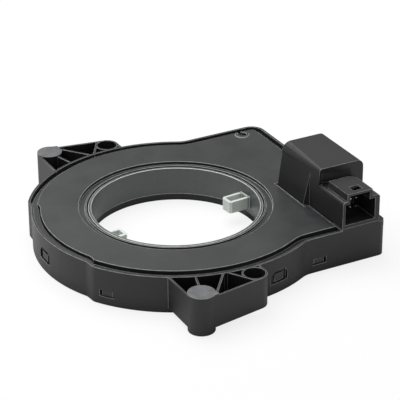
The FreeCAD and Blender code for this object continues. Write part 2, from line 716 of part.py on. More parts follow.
# Snap windows through the walls, and shallow arched recesses with a lug each.
WINDOW_Z = ("window_bottom", "window_bottom + window_height")
windows = []
for side in ("", "-"):
    windows.append(turned_block(
        "round_window" + ("_rear" if side == "" else "_front"),
        ("outer_radius - 6", "outer_radius + 1"),
        ("-window_width / 2", "window_width / 2"),
        WINDOW_Z,
        side + "window_angle",
    ))
windows.append(block(
    "side_window_rear",
    ("window_x - window_width / 2", "window_x + window_width / 2"),
    ("half_width - wall - 1", "half_width + 1"),
    WINDOW_Z,
))
windows.append(block(
    "side_window_front",
    ("window_x - window_width / 2", "window_x + window_width / 2"),
    ("-half_width - 1", "-half_width + wall + 1"),
    WINDOW_Z,
))


def arch(name, face, direction):
    """The room of an arched recess in the wall, and the lug inside it."""
    half = "arch_width / 2"
    top = "arch_bottom + arch_height"
    corners = [
        ("-" + half, "arch_bottom"),
        (half, "arch_bottom"),
        (half, top + " - arch_shoulder"),
        (half + " - arch_shoulder", top),
        ("-" + half + " + arch_shoulder", top),
        ("-" + half, top + " - arch_shoulder"),
    ]
    room = padded(name + "_room", "YZ_Plane", corners, "5", face + " - arch_depth")
    place(room, turn=direction)
    lug = turned_block(
        name + "_lug",
        (face + " - arch_depth - 0.3", face + " - arch_depth / 3"),
        ("-arch_width / 4", "arch_width / 4"),
        ("arch_bottom + 0.6", "arch_bottom + arch_height - 1.4"),
        direction,
    )
    return room, lug


ARCHES = [
    arch("arch_left", "outer_radius - recess_depth", "180"),
    arch("arch_front", "outer_radius", "-arch_angle"),
    arch("arch_rear", "outer_radius", "arch_angle"),
]

# The whole housing is one moulding: the features that take the most care here.
solid_parts = [tray, deck_rear, deck_front, hood, shroud, latch]
solid_parts += [ear_rear, ear_front, guide]
moulding = joined("moulding", solid_parts + [fuse("floor_forms", pins)])
hollows = [mouth, channel, catch, relief, hood_room, shaft_hole] + slots + windows
hollows += [room for room, lug in ARCHES]
carved = cut("carved", moulding, fuse("hollows", hollows))
housing = joined("housing_whole", [carved] + [lug for room, lug in ARCHES])
finish(housing, "housing")

# The lid: a flange, a raised middle, a lip round the bore and four snap arms.
CROWN_TOP = "(rim_height + crown_rise)"
lid_edge = ("rim_width + lid_gap", "recess_rim + lid_gap")
lid_outline = plan("lid_outline", lid_edge[0], ("ledge_height", CROWN_TOP), lid_edge[1], "lid_slant")
crown = plain_plan("crown", "crown_inset", ("ledge_height", CROWN_TOP + " + 2"))
round_about = block(
    "round_about",
    ("-outer_radius - 5", "reach + 5"),
    ("-outer_radius - 5", "outer_radius + 5"),
    ("rim_height - flange_drop", CROWN_TOP + " + 1"),
)
lid_plate = cut("lid_plate", lid_outline, cut("flange_room", round_about, crown))
LID_Z = ("ledge_height - 1", "rim_height + 2")
beside_hood = block(
    "beside_hood",
    ("deck_left - lid_gap", "reach + 1"),
    ("step_y - lid_gap", "deck_rear + lid_gap"),
    LID_Z,
)
beside_shroud = block(
    "beside_shroud",
    ("deck_left + deck_step - lid_gap", "reach + 1"),
    ("-half_width - 1", "step_y"),
    LID_Z,
)
LIP = "(ring_bore + ring_wall + bore_gap + lip_width)"
lid_bore = disc("lid_bore", LIP + " - lip_width", LID_Z)
lip_room = disc("lip_room", LIP, (CROWN_TOP + " - lip_drop", CROWN_TOP + " + 1"))
groove_outer = disc("groove_outer", LIP + " + groove_width", (CROWN_TOP + " - groove_depth", CROWN_TOP + " + 1"))
groove_core = disc("groove_core", LIP, (CROWN_TOP + " - groove_depth - 1", CROWN_TOP + " + 2"))
groove = cut("groove", groove_outer, groove_core)
stake_hole = prism("stake_hole", "lid_hole", 12, LID_Z, "lid_stake_x", "stake_y")
stake_ring = prism(
    "stake_ring",
    "lid_hole + lid_hole_ring",
    12,
    ("rim_height - flange_drop", CROWN_TOP + " + lid_hole_rise"),
    "lid_stake_x",
    "stake_y",
)
stake_notch = block(
    "stake_notch",
    ("lid_stake_x - lid_notch * 0.6", "lid_stake_x + lid_notch * 0.4"),
    ("stake_y", "half_width"),
    ("rim_height - flange_drop", CROWN_TOP + " + 1"),
)
lid_tools = [beside_hood, beside_shroud, lid_bore, lip_room, groove, stake_hole, stake_notch]
lid_body = cut("lid_body", fuse("lid_plate_ring", [lid_plate, stake_ring]), fuse("lid_tools", lid_tools))


def snap_arm(name, face, direction):
    """A snap arm under the lid with a hook that fills its window."""
    half = "(window_width / 2 - window_gap)"
    inner = face + " - wall - arm_gap - hook_thickness"
    arm = turned_block(
        name,
        (inner, face + " - wall - arm_gap"),
        ("-arm_width / 2", "arm_width / 2"),
        ("window_bottom + arm_gap", "ledge_height + 0.5"),
        direction,
    )
    hook = turned_block(
        name + "_hook",
        (inner, face + " - hook_sink"),
        ("-" + half, half),
        ("window_bottom + arm_gap", "window_bottom + window_height - window_gap"),
        direction,
    )
    return [arm, hook]


arms = snap_arm("arm_rear", "outer_radius", "window_angle")
arms += snap_arm("arm_front", "outer_radius", "-window_angle")
half = "(window_width / 2 - window_gap)"
for name, side in (("side_arm_rear", 1), ("side_arm_front", -1)):
    outer = "half_width - wall - arm_gap"
    inner = outer + " - hook_thickness"
    face = "half_width - hook_sink"
    arm_y = (inner, outer) if side > 0 else ("-(%s)" % outer, "-(%s)" % inner)
    hook_y = (inner, face) if side > 0 else ("-(%s)" % face, "-(%s)" % inner)
    across = ("window_x - arm_width / 2", "window_x + arm_width / 2")
    arms.append(block(name, across, arm_y, ("window_bottom + arm_gap", "ledge_height + 0.5")))
    across = ("window_x - " + half, "window_x + " + half)
    hook_z = ("window_bottom + arm_gap", "window_bottom + window_height - window_gap")
    arms.append(block(name + "_hook", across, hook_y, hook_z))
lid = fuse("lid_whole", [lid_body] + arms)
finish(lid, "lid")


def gap_corner(teeth, radius, side):
    """A corner of the gap between two involute teeth, at a radius."""
    ratio = "min(1; tooth_module * %s / 2 * cos(20) / (%s))" % (teeth, radius)
    pitch_half = "(90 / %s + backlash * 180 / (pi * tooth_module * %s))" % (teeth, teeth)
    rolled = "((sqrt(1 / (%s)^2 - 1) - tan(20)) * 180 / pi + 20)" % ratio
    angle = "((%s + %s) * 1 deg - acos(%s))" % (pitch_half, rolled, ratio)
    return "(%s) * cos(%s)" % (radius, angle), "%s(%s) * sin(%s)" % (side, radius, angle)


def toothed(name, teeth):
    """A toothed disc, made by cutting the gap centred on +X round a blank."""
    tip = "(tooth_module * (%s + 2) / 2)" % teeth
    body = doc.addObject("PartDesign::Body", name)
    blank = body.newObject("PartDesign::AdditivePrism", name + "_blank")
    bind(blank, "Polygon", teeth)
    bind(blank, "Circumradius", "%s / cos(180 / %s)" % (tip, teeth))
    bind(blank, "Height", "face_width")
    bind(blank, "Placement.Base.z", "mesh_bottom")
    root = "(tooth_module * (%s - 2.5) / 2)" % teeth
    radii = [root, tip + " + 0.4"]
    corners = [gap_corner(teeth, radius, "-") for radius in radii]
    corners += [gap_corner(teeth, radius, "") for radius in reversed(radii)]
    sketch = outline(body, name + "_gap", "XY_Plane", corners)
    doc.recompute()
    before = body.Shape.Volume
    gap = body.newObject("PartDesign::Pocket", name + "_gap_cut")
    gap.Profile = sketch
    gap.Type = "ThroughAll"
    gap.Midplane = True
    gap.Refine = False
    doc.recompute()
    assert body.Shape.Volume < before, name + " has no gap cut in it"
    pattern = body.newObject("PartDesign::PolarPattern", name + "_teeth")
    pattern.Originals = [gap]
    pattern.Axis = (sketch, ["N_Axis"])
    pattern.Angle = 360.0
    pattern.Refine = False
    bind(pattern, "Occurrences", teeth)
    body.Tip = pattern
    return body


# The drive ring: a tube round the shaft with a toothed flange and two drive tabs.
MESH_TOP = "(mesh_bottom + face_width)"
RING_FOOT = "(collar_height + end_play)"
ring_teeth = toothed("ring_toothed", "ring_teeth")
ring_room = disc("ring_room", "ring_bore + ring_wall / 2", ("mesh_bottom - 1", MESH_TOP + " + 1"))
ring_flange = cut("ring_flange", ring_teeth, ring_room)
ring_tube = turned(
    "ring_tube",
    [
        ("ring_bore", RING_FOOT),
        (RING_OUTER, RING_FOOT),
        (RING_OUTER, "ring_top"),
        ("ring_bore", "ring_top"),
    ],
)


tabs = []
for name, turn in (("tab_right", "tab_angle"), ("tab_left", "tab_angle + 180")):
    corners = [
        ("tab_tip", "-tab_width / 2 + tab_bevel"),
        ("tab_tip + tab_bevel", "-tab_width / 2"),
        ("ring_bore + ring_wall / 2", "-tab_width / 2"),
        ("ring_bore + ring_wall / 2", "tab_width / 2"),
        ("tab_tip + tab_bevel", "tab_width / 2"),
        ("tab_tip", "tab_width / 2 - tab_bevel"),
    ]
    bar = padded(name + "_bar", "XY_Plane", corners, "tab_top - tab_bottom")
    place(bar, z="tab_bottom", turn=turn)
    across = ("-tab_width / 2 + tab_wall", "tab_width / 2 - tab_wall")
    along = ("tab_tip + tab_wall", "ring_bore - tab_wall / 2")
    pocket = turned_block(name + "_pocket", along, across, ("tab_bottom + tab_wall", "tab_top + 1"), turn)
    tabs.append(cut(name, bar, pocket))
drive_ring = fuse("drive_ring_whole", [ring_tube, ring_flange] + tabs)
finish(drive_ring, "drive_ring")

# The two measuring gears differ by one tooth, so their two angles together tell
# how many turns the wheel has made. Each carries a magnet on its top.
for letter, direction, teeth in GEARS:
    wheel = toothed("wheel_" + letter, teeth)
    hub = prism("hub_" + letter, "gear_hub", 12, ("gear_foot", "mesh_bottom + face_width / 4"))
    pin_room = disc("pin_room_" + letter, "spigot_radius + spigot_gap", ("gear_foot - 1", "spigot_top + end_play"))
    gear_x, gear_y = gear_place(direction, teeth)
    turn = "%s + 180 + %s * ring_teeth / %s - 180 / %s" % (direction, direction, teeth, teeth)
    pocket_half = "magnet_side / 2 + glue_gap"
    across = ("-(%s)" % pocket_half, pocket_half)
    pocket_z = ("magnet_top - magnet_height", "magnet_top + 1")
    pocket = block("magnet_pocket_" + letter, across, across, pocket_z)
    rooms = fuse("gear_rooms_" + letter, [pin_room, pocket])
    gear = cut("gear_" + letter, fuse("gear_forms_" + letter, [wheel, hub]), rooms)
    place(gear, gear_x, gear_y, "0", turn)
    finish(gear, "measuring_gear_" + letter)
    across = ("-magnet_side / 2", "magnet_side / 2")
    magnet = block("magnet_form_" + letter, across, across, ("magnet_top - magnet_height", "magnet_top"))
    corner = "magnet_side / 2"
    corner_x = "%s - %s * cos(%s) + %s * sin(%s)" % (gear_x, corner, turn, corner, turn)
    corner_y = "%s - %s * sin(%s) - %s * cos(%s)" % (gear_y, corner, turn, corner, turn)
    place(magnet, corner_x, corner_y, "magnet_top - magnet_height", turn)
    finish(magnet, "magnet_" + letter)

# The circuit board, with holes for its stakes and for the contacts.
BOARD_Z = ("board_bottom", BOARD_TOP)
BOARD_EDGE = "half_width - wall - board_gap"
board_sheet = block(
    "board_sheet",
    ("board_start", "reach - wall - board_gap"),
    ("-(%s)" % BOARD_EDGE, BOARD_EDGE),
    BOARD_Z,
)
board_holes = [prism("board_hollow_edge", "board_round", 16, ("board_bottom - 1", BOARD_TOP + " + 1"))]
for number, (stake_x, stake_y, stake_top) in enumerate(STAKES, start=1):
    hole_z = ("board_bottom - 1", BOARD_TOP + " + 1")
    hole_radius = "stake_radius + fit_gap"
    board_holes.append(prism("board_stake_%d" % number, hole_radius, 8, hole_z, stake_x, stake_y))
for row_name, pin_z, drop in ROWS:
    for number, pin_x in enumerate(COLUMNS, start=1):
        reach = "(pin_size / 2 + fit_gap)"
        board_holes.append(block(
            "board_%s_%d" % (row_name, number),
            (pin_x + " - " + reach, pin_x + " + " + reach),
            (drop + " - " + reach, drop + " + " + reach),
            ("board_bottom - 1", BOARD_TOP + " + 1"),
        ))
circuit_board = cut("board_whole", board_sheet, fuse("board_holes", board_holes))
finish(circuit_board, "circuit_board")

# One angle sensor chip hangs under the board above each magnet.
for letter, direction, teeth in GEARS:
    chip_x, chip_y = gear_place(direction, teeth)
    chip = block(
        "chip_" + letter,
        (chip_x + " - chip_length / 2", chip_x + " + chip_length / 2"),
        (chip_y + " - chip_width / 2", chip_y + " + chip_width / 2"),
        ("board_bottom - chip_height", "board_bottom"),
    )
    finish(chip, "angle_sensor_" + letter)

# The parts that stand on the board. Parts of one kind share a node.
grouped = {}
for label, middle_x, middle_y, length, width, height in CIRCUIT:
    item = block(
        label + "_form",
        ("{0}_x - {0}_length / 2".format(label), "{0}_x + {0}_length / 2".format(label)),
        ("{0}_y - {0}_width / 2".format(label), "{0}_y + {0}_width / 2".format(label)),
        (BOARD_TOP, BOARD_TOP + " + {0}_height".format(label)),
    )
    kind = label.rstrip("0123456789").rstrip("_")
    grouped.setdefault(kind, []).append(item)
for kind, items in grouped.items():
    if len(items) == 1:
        finish(items[0], kind)
    else:
        finish(fuse(kind + "_whole", items), kind + "s")

# Six bent contacts of square wire in two rows.
for row_name, pin_z, drop in ROWS:
    low = pin_z + " - pin_size / 2"
    high = pin_z + " + pin_size / 2"
    foot = "board_bottom - pin_tail"
    corners = [
        ("pin_tip", pin_z + " - pin_size / 5"),
        ("pin_tip + pin_size", low),
        (drop + " - pin_size / 2", low),
        (drop + " - pin_size / 2", foot),
        (drop + " + pin_size / 2", foot),
        (drop + " + pin_size / 2", high + " - pin_size"),
        (drop + " - pin_size / 2", high),
        ("pin_tip + pin_size", high),
        ("pin_tip", pin_z + " + pin_size / 5"),
    ]
    for number, pin_x in enumerate(COLUMNS, start=1):
        name = "contact_%s_%d" % (row_name, number)
        contact = padded(name + "_form", "YZ_Plane", corners, "pin_size", "-pin_size / 2")
        place(contact, pin_x)
        finish(contact, name)

# Everything is checked before it is written.
doc.recompute()
for item in doc.Objects:
    troubled = [word for word in item.State if word in ("Invalid", "Error")]
    if troubled:
        print("TROUBLE", item.Name, item.Label, item.State)
os.makedirs("parts", exist_ok=True)
for item in FINISHED:
    shape = item.Shape
    assert "Invalid" not in item.State and "Error" not in item.State, item.Label
    assert shape.isValid() and shape.Volume > 0, item.Label
    box = shape.BoundBox
    print("%-20s solids %d volume %9.1f  x %.1f %.1f  y %.1f %.1f  z %.2f %.2f" % (
        item.Label, len(shape.Solids), shape.Volume,
        box.XMin, box.XMax, box.YMin, box.YMax, box.ZMin, box.ZMax,
    ))
    shape.exportStep(os.path.join("parts", item.Label + ".step"))
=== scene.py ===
# %% [markdown]
# # A steering angle sensor: its looks
#
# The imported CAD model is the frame: it already has every piece at its real size and in
# its real place. This notebook gives each piece the finish of the real one and rounds
# the moulded edges. Every shape is in the CAD, so no piece is added here. Blender works
# in metres, and the sizes below are given in millimetres.

# %% Load the frame
import json
import math

import bpy
from mathutils import Matrix, Vector


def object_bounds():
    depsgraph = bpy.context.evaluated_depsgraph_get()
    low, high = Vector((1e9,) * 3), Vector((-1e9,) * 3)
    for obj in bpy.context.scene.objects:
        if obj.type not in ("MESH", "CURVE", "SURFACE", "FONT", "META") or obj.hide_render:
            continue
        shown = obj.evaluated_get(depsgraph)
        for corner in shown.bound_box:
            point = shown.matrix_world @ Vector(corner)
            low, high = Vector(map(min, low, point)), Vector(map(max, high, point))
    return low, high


MM = 0.001
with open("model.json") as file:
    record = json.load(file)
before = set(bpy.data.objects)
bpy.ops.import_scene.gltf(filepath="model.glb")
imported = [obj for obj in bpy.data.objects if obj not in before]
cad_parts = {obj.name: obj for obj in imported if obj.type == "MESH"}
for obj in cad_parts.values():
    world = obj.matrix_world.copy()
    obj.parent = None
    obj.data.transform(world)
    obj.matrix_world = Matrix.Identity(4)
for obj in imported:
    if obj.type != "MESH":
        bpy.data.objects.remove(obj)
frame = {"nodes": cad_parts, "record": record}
cad_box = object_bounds()
nodes = frame["nodes"]

# %% [markdown]
# ## Small helpers
#
# Colours are written as the sRGB codes that one would pick on a screen, and one function
# turns them into the linear values that shaders use. Another adds a node with its
# settings and links, so that each material below reads as a list of its layers.


# %% Helpers for colours and nodes
def colour(code):
    """The linear colour of an sRGB hex code."""
    parts = [int(code[n:n + 2], 16) / 255 for n in (1, 3, 5)]
    linear = [p / 12.92 if p <= 0.04045 else ((p + 0.055) / 1.055) ** 2.4 for p in parts]
    return (*linear, 1.0)


def add(tree, kind, inputs=None, **settings):
    """A shader node with its settings, and its inputs set to values or linked."""
    node = tree.nodes.new("ShaderNode" + kind)
    for name, setting in settings.items():
        setattr(node, name, setting)
    for name, given in (inputs or {}).items():
        if isinstance(given, bpy.types.NodeSocket):
            tree.links.new(given, node.inputs[name])
        else:
            node.inputs[name].default_value = given
    return node


def empty_material(name):
    """A material with no nodes yet."""
    material = bpy.data.materials.new(name)
    material.use_nodes = True
    material.node_tree.nodes.clear()
    return material, material.node_tree


print("helpers ready")

# %% [markdown]
# ## Where a pattern sits
#
# Every pattern is laid out in millimetres on the object itself, so a blotch that is
# written as 2 mm is 2 mm wide on the real part. Some finishes also need to know how far a
# point is from the shaft's axis. Noise seldom leaves the span from 0.3 to 0.7, so it is
# stretched from that span before it drives a colour or a gloss.


# %% Helpers for places
def millimetres(tree):
    """Object coordinates in millimetres."""
    place = add(tree, "TexCoord").outputs["Object"]
    scaled = add(tree, "VectorMath", {0: place, "Scale": 1 / MM}, operation="SCALE")
    return scaled.outputs["Vector"]


def axis_distance(tree, place):
    """How far a point lies from the shaft's axis, in millimetres."""
    level = add(tree, "VectorMath", {0: place, 1: (1.0, 1.0, 0.0)}, operation="MULTIPLY")
    length = add(tree, "VectorMath", {0: level.outputs["Vector"]}, operation="LENGTH")
    return length.outputs["Value"]


NOISE_SPAN = {"From Min": 0.3, "From Max": 0.7}
# Sockets of a Mix node that blends two colours.
FACTOR, FIRST, SECOND, BLEND = 0, 6, 7, 2
print("places ready")

# %% [markdown]
# ## Camera
#
# The photograph was taken from in front and to the left, about 27 degrees above the
# table, with a long lens. The camera stands 0.64 m away and is turned very slightly.

# %% Camera
CAMERA_PLACE = Vector((-252.80, -492.56, 295.38)) * MM
CAMERA_AIM = Vector((14.98, 10.76, 6.0)) * MM
CAMERA_ROLL = math.radians(-0.30)
LENS_MM = 166.5
NEAREST_SEEN = 0.01
camera_data = bpy.data.cameras.new("camera")
camera_data.lens = LENS_MM
camera_data.clip_start = NEAREST_SEEN
camera = bpy.data.objects.new("camera", camera_data)
bpy.context.scene.collection.objects.link(camera)
ahead = (CAMERA_AIM - CAMERA_PLACE).normalized()
right = ahead.cross(Vector((0, 0, 1))).normalized()
above = right.cross(ahead)
tilted_right = right * math.cos(CAMERA_ROLL) + above * math.sin(CAMERA_ROLL)
tilted_up = above * math.cos(CAMERA_ROLL) - right * math.sin(CAMERA_ROLL)
turn = Matrix((tilted_right, tilted_up, -ahead)).transposed().to_4x4()
camera.matrix_world = Matrix.Translation(CAMERA_PLACE) @ turn
bpy.context.scene.camera = camera
print("camera at", tuple(round(v, 3) for v in CAMERA_PLACE))

# %% [markdown]
# ## Screw posts
#
# The two solid posts of the ears end in a flat top, and there the black plastic is made
# paler, in patches. The tops have no face of their own to paint, so they are found by
# their place: at the height of the post's top and far from the axis.

# %% Screw posts
POST_TOP_MM = 13.3
POST_TOP_MARGIN_MM = 0.15
POST_NEAREST_MM = 54.0
PALE_PATCH_MM = 2.0


def paler_post_tops(tree, place, tone, pale):
    """The tone of the plastic, turned paler on the flat tops of the two posts."""
    height = add(tree, "SeparateXYZ", {0: place}).outputs["Z"]
    away = axis_distance(tree, place)
    level = {0: height, 1: POST_TOP_MM, 2: POST_TOP_MARGIN_MM}
    level = add(tree, "Math", level, operation="COMPARE").outputs[0]
    far = add(tree, "Math", {0: away, 1: POST_NEAREST_MM}, operation="GREATER_THAN").outputs[0]
    top = add(tree, "Math", {0: level, 1: far}, operation="MULTIPLY").outputs[0]
    patches = {"Vector": place, "Scale": 1 / PALE_PATCH_MM, "Detail": 3.0}
    patches = add(tree, "TexNoise", patches).outputs["Fac"]
    paleness = {"Value": patches, **NOISE_SPAN, "To Min": 0.55, "To Max": 0.95}
    paleness = add(tree, "MapRange", paleness).outputs["Result"]
    share = add(tree, "Math", {0: top, 1: paleness}, operation="MULTIPLY").outputs[0]
    paints = {FACTOR: share, FIRST: tone, SECOND: colour(pale)}
    return add(tree, "Mix", paints, data_type="RGBA").outputs[BLEND]


print("post tops: at", POST_TOP_MM, "mm,", POST_NEAREST_MM, "mm or more from the axis")

# %% [markdown]
# ## Moulded plastic
#
# The housing and the lid are injection moulded in black nylon filled with glass fibre.
# The mould is spark-eroded, which leaves a fine dull grain. It is drawn a quarter of a
# millimetre wide, a little coarser than it is, so that it shows. The glass makes the
# gloss uneven where the melt flowed, and handling leaves a little pale dust in the grain.
# Each of these is a layer of noise at its real size.

# %% Moulded plastic
FLOW_MM = 14.0
FLOW_DEPTH_MM = 0.05
DUST_MM = 0.9
DUST_COLOUR = "#8A8782"
DUST_SPAN = {"From Min": 0.64, "From Max": 0.78, "To Max": 0.10}
NYLON_IOR = 1.50


def moulded_plastic(name, dark, light, roughness, grain_mm, grain_depth_mm, pale=None):
    """Matt moulded plastic with eroded grain, flow marks and a little dust."""
    material, tree = empty_material(name)
    place = millimetres(tree)
    grain = {"Vector": place, "Scale": 1 / grain_mm, "Detail": 3.0}
    grain = add(tree, "TexNoise", grain).outputs["Fac"]
    flow = {"Vector": place, "Scale": 1 / FLOW_MM, "Detail": 3.0, "Roughness": 0.6}
    flow = add(tree, "TexNoise", flow).outputs["Fac"]
    dust = {"Vector": place, "Scale": 1 / DUST_MM, "Detail": 4.0, "Roughness": 0.7}
    dust = add(tree, "TexNoise", dust).outputs["Fac"]

    # Tone: the flow marks first, then the dust, then the paler post tops.
    marks = add(tree, "MapRange", {"Value": flow, **NOISE_SPAN}).outputs["Result"]
    tone = {FACTOR: marks, FIRST: colour(dark), SECOND: colour(light)}
    tone = add(tree, "Mix", tone, data_type="RGBA").outputs[BLEND]
    specks = add(tree, "MapRange", {"Value": dust, **DUST_SPAN}).outputs["Result"]
    tone = {FACTOR: specks, FIRST: tone, SECOND: colour(DUST_COLOUR)}
    tone = add(tree, "Mix", tone, data_type="RGBA").outputs[BLEND]
    if pale is not None:
        tone = paler_post_tops(tree, place, tone, pale)

    # Gloss: uneven where the melt flowed, and from grain to grain.
    flow_gloss = {"Value": flow, **NOISE_SPAN, "To Min": -0.03, "To Max": 0.04}
    flow_gloss = add(tree, "MapRange", flow_gloss).outputs["Result"]
    grain_gloss = {"Value": grain, **NOISE_SPAN, "To Min": -0.05, "To Max": 0.05}
    grain_gloss = add(tree, "MapRange", grain_gloss).outputs["Result"]
    change = add(tree, "Math", {0: flow_gloss, 1: grain_gloss}).outputs[0]
    gloss = add(tree, "Math", {0: change, 1: roughness}).outputs[0]

    # Relief: the eroded grain on top of the shallow waves of the flow.
    relief = add(tree, "Bump", {"Height": grain, "Distance": grain_depth_mm * MM})
    waves = {"Height": flow, "Distance": FLOW_DEPTH_MM * MM, "Normal": relief.outputs[0]}
    waves = add(tree, "Bump", waves)
    shader = add(tree, "BsdfPrincipled", {
        "Base Color": tone,
        "Roughness": gloss,
        "Normal": waves.outputs[0],
        "IOR": NYLON_IOR,
    })
    add(tree, "OutputMaterial", {"Surface": shader.outputs[0]})
    return material


housing_plastic = moulded_plastic(
    "black nylon, eroded mould", "#111011", "#1A191A",
    roughness=0.50, grain_mm=0.22, grain_depth_mm=0.008, pale="#656668",
)
lid_plastic = moulded_plastic(
    "black nylon, lid", "#1D1E1F", "#2B2C2D",
    roughness=0.40, grain_mm=0.30, grain_depth_mm=0.006,
)
print("moulded plastics:", housing_plastic.name, "and", lid_plastic.name)

# %% [markdown]
# ## Painted edge highlights
#
# The light catches the small rounds along every rim and draws fine bright lines there.
# They are painted in: a pale grey highlight with slow changes of tone, which the bevels
# further down give to their narrow faces.

# %% Painted edge highlights
HIGHLIGHT_PATCH_MM = 2.6
EDGE_GRAIN_MM = 0.25
EDGE_GRAIN_DEPTH_MM = 0.004


def painted_edge_highlight(name, dark, light):
    """A painted highlight along an edge: pale, dull grey with darker patches in it."""
    material, tree = empty_material(name)
    place = millimetres(tree)
    highlight_patches = {"Vector": place, "Scale": 1 / HIGHLIGHT_PATCH_MM, "Detail": 4.0, "Roughness": 0.65}
    highlight_patches = add(tree, "TexNoise", highlight_patches).outputs["Fac"]
    fine = {"Vector": place, "Scale": 1 / EDGE_GRAIN_MM}
    fine = add(tree, "TexNoise", fine).outputs["Fac"]
    # Painted highlight: the pale tone stands in for the light that the rounded edge catches.
    highlight_share = add(tree, "MapRange", {"Value": highlight_patches, **NOISE_SPAN}).outputs["Result"]
    tone = {FACTOR: highlight_share, FIRST: colour(dark), SECOND: colour(light)}
    tone = add(tree, "Mix", tone, data_type="RGBA").outputs[BLEND]
    gloss = {"Value": fine, **NOISE_SPAN, "To Min": 0.38, "To Max": 0.52}
    gloss = add(tree, "MapRange", gloss).outputs["Result"]
    relief = add(tree, "Bump", {"Height": fine, "Distance": EDGE_GRAIN_DEPTH_MM * MM})
    shader = add(tree, "BsdfPrincipled", {
        "Base Color": tone,
        "Roughness": gloss,
        "Normal": relief.outputs[0],
        "IOR": NYLON_IOR,
    })
    add(tree, "OutputMaterial", {"Surface": shader.outputs[0]})
    return material


# The pale greys below are painted highlights on the rounded edges.
housing_edge_highlight = painted_edge_highlight("painted highlight on the housing's edges", "#5E5D5E", "#9A999A")
lid_edge_highlight = painted_edge_highlight("painted highlight on the lid's edges", "#77787A", "#A6A7A8")
print("painted edge highlights:", housing_edge_highlight.name, "and", lid_edge_highlight.name)

# %% [markdown]
# ## Acetal
#
# The drive ring and the gears are natural acetal, a milky plastic that slides well
# against nylon. Light goes a millimetre or so into it, so it has a little subsurface
# light, and slow clouds in its tone. The ring's tube wall is painted dark grey, as
# painted shade: it stands in for the shade inside the bore and the dark housing seen
# through the thin acetal, while its tabs stay pale. The tube is told from the tabs by
# its distance from the axis.

# %% Acetal
CLOUD_MM = 6.0
SKIN_MM = 0.35
SKIN_DEPTH_MM = 0.003
GLOSS_CHANGE = 0.04
TUBE_SPAN = {"From Min": 27.4, "From Max": 28.3}
LIGHT_DEPTH_MM = 1.2
ACETAL_IOR = 1.48


def acetal(name, tint, deep, roughness, tube_shade=None):
    """Milky, slightly translucent plastic; the tube's wall can be painted darker, as painted
    shade.
    """
    material, tree = empty_material(name)
    place = millimetres(tree)
    cloud = add(tree, "TexNoise", {"Vector": place, "Scale": 1 / CLOUD_MM}).outputs["Fac"]
    skin = add(tree, "TexNoise", {"Vector": place, "Scale": 1 / SKIN_MM}).outputs["Fac"]
    clouds = add(tree, "MapRange", {"Value": cloud, **NOISE_SPAN}).outputs["Result"]
    tone = {FACTOR: clouds, FIRST: colour(tint), SECOND: colour(deep)}
    tone = add(tree, "Mix", tone, data_type="RGBA").outputs[BLEND]
    # Painted shade: the wall of the tube is mixed toward a dark grey, standing in for the
    # shade in the bore.
    if tube_shade is not None:
        away = axis_distance(tree, place)
        tube = add(tree, "MapRange", {"Value": away, **TUBE_SPAN}).outputs["Result"]
        tone = {FACTOR: tube, FIRST: tone, SECOND: colour(tube_shade)}
        tone = add(tree, "Mix", tone, data_type="RGBA").outputs[BLEND]
    gloss = {"Value": skin, **NOISE_SPAN}
    gloss.update({"To Min": roughness - GLOSS_CHANGE, "To Max": roughness + GLOSS_CHANGE})
    gloss = add(tree, "MapRange", gloss).outputs["Result"]
    relief = add(tree, "Bump", {"Height": skin, "Distance": SKIN_DEPTH_MM * MM})
    shader = add(tree, "BsdfPrincipled", {
        "Base Color": tone,
        "Roughness": gloss,
        "Subsurface Weight": 0.35,
        "Subsurface Radius": (1.0, 1.0, 0.8),
        "Subsurface Scale": LIGHT_DEPTH_MM * MM,
        "IOR": ACETAL_IOR,
        "Normal": relief.outputs[0],
    })
    add(tree, "OutputMaterial", {"Surface": shader.outputs[0]})
    return material


# The dark grey given for the tube is painted shade.
ring_plastic = acetal(
    "natural acetal, drive ring", "#D3D8D4", "#C2C7C3", roughness=0.30, tube_shade="#525655"
)
# The ring's bevels take this paler copy of the acetal: a painted highlight on its lit edges.
ring_edge_highlight = acetal("natural acetal, lit edge", "#F0F3F1", "#DDE1DF", roughness=0.25)
gear_plastic = acetal("natural acetal, gears", "#D9D7CC", "#D0CEC2", roughness=0.40)
print("acetals:", ring_plastic.name, "/", ring_edge_highlight.name, "/", gear_plastic.name)

# %% [markdown]
# ## Metals, magnets and the circuit
#
# The contacts are tin-plated wire, the magnets ground ferrite, and the board is
# glass-fibre laminate under green solder mask. The packages on it are moulded epoxy.
# Under the lid they are hardly seen, so one kind of finish does for all of them: a slow
# change of tone and a fine grain, each at its own size.

# %% Metals, magnets and the circuit
GRAIN_GLOSS = 0.06
GRAIN_DEPTH_MM = 0.003


def plain_finish(name, dark, light, roughness, metallic=0.0, grain_mm=0.3, patch_mm=3.0):
    """A finish with slow changes of tone and a fine grain."""
    material, tree = empty_material(name)
    place = millimetres(tree)
    patch = {"Vector": place, "Scale": 1 / patch_mm, "Detail": 3.0}
    patch = add(tree, "TexNoise", patch).outputs["Fac"]
    grain = {"Vector": place, "Scale": 1 / grain_mm, "Detail": 3.0}
    grain = add(tree, "TexNoise", grain).outputs["Fac"]
    patches = add(tree, "MapRange", {"Value": patch, **NOISE_SPAN}).outputs["Result"]
    tone = {FACTOR: patches, FIRST: colour(dark), SECOND: colour(light)}
    tone = add(tree, "Mix", tone, data_type="RGBA").outputs[BLEND]
    gloss = {"Value": grain, **NOISE_SPAN}
    gloss.update({"To Min": roughness - GRAIN_GLOSS, "To Max": roughness + GRAIN_GLOSS})
    gloss = add(tree, "MapRange", gloss).outputs["Result"]
    relief = add(tree, "Bump", {"Height": grain, "Distance": GRAIN_DEPTH_MM * MM})
    shader = add(tree, "BsdfPrincipled", {
        "Base Color": tone,
        "Metallic": metallic,
        "Roughness": gloss,
        "Normal": relief.outputs[0],
    })
    add(tree, "OutputMaterial", {"Surface": shader.outputs[0]})
    return material


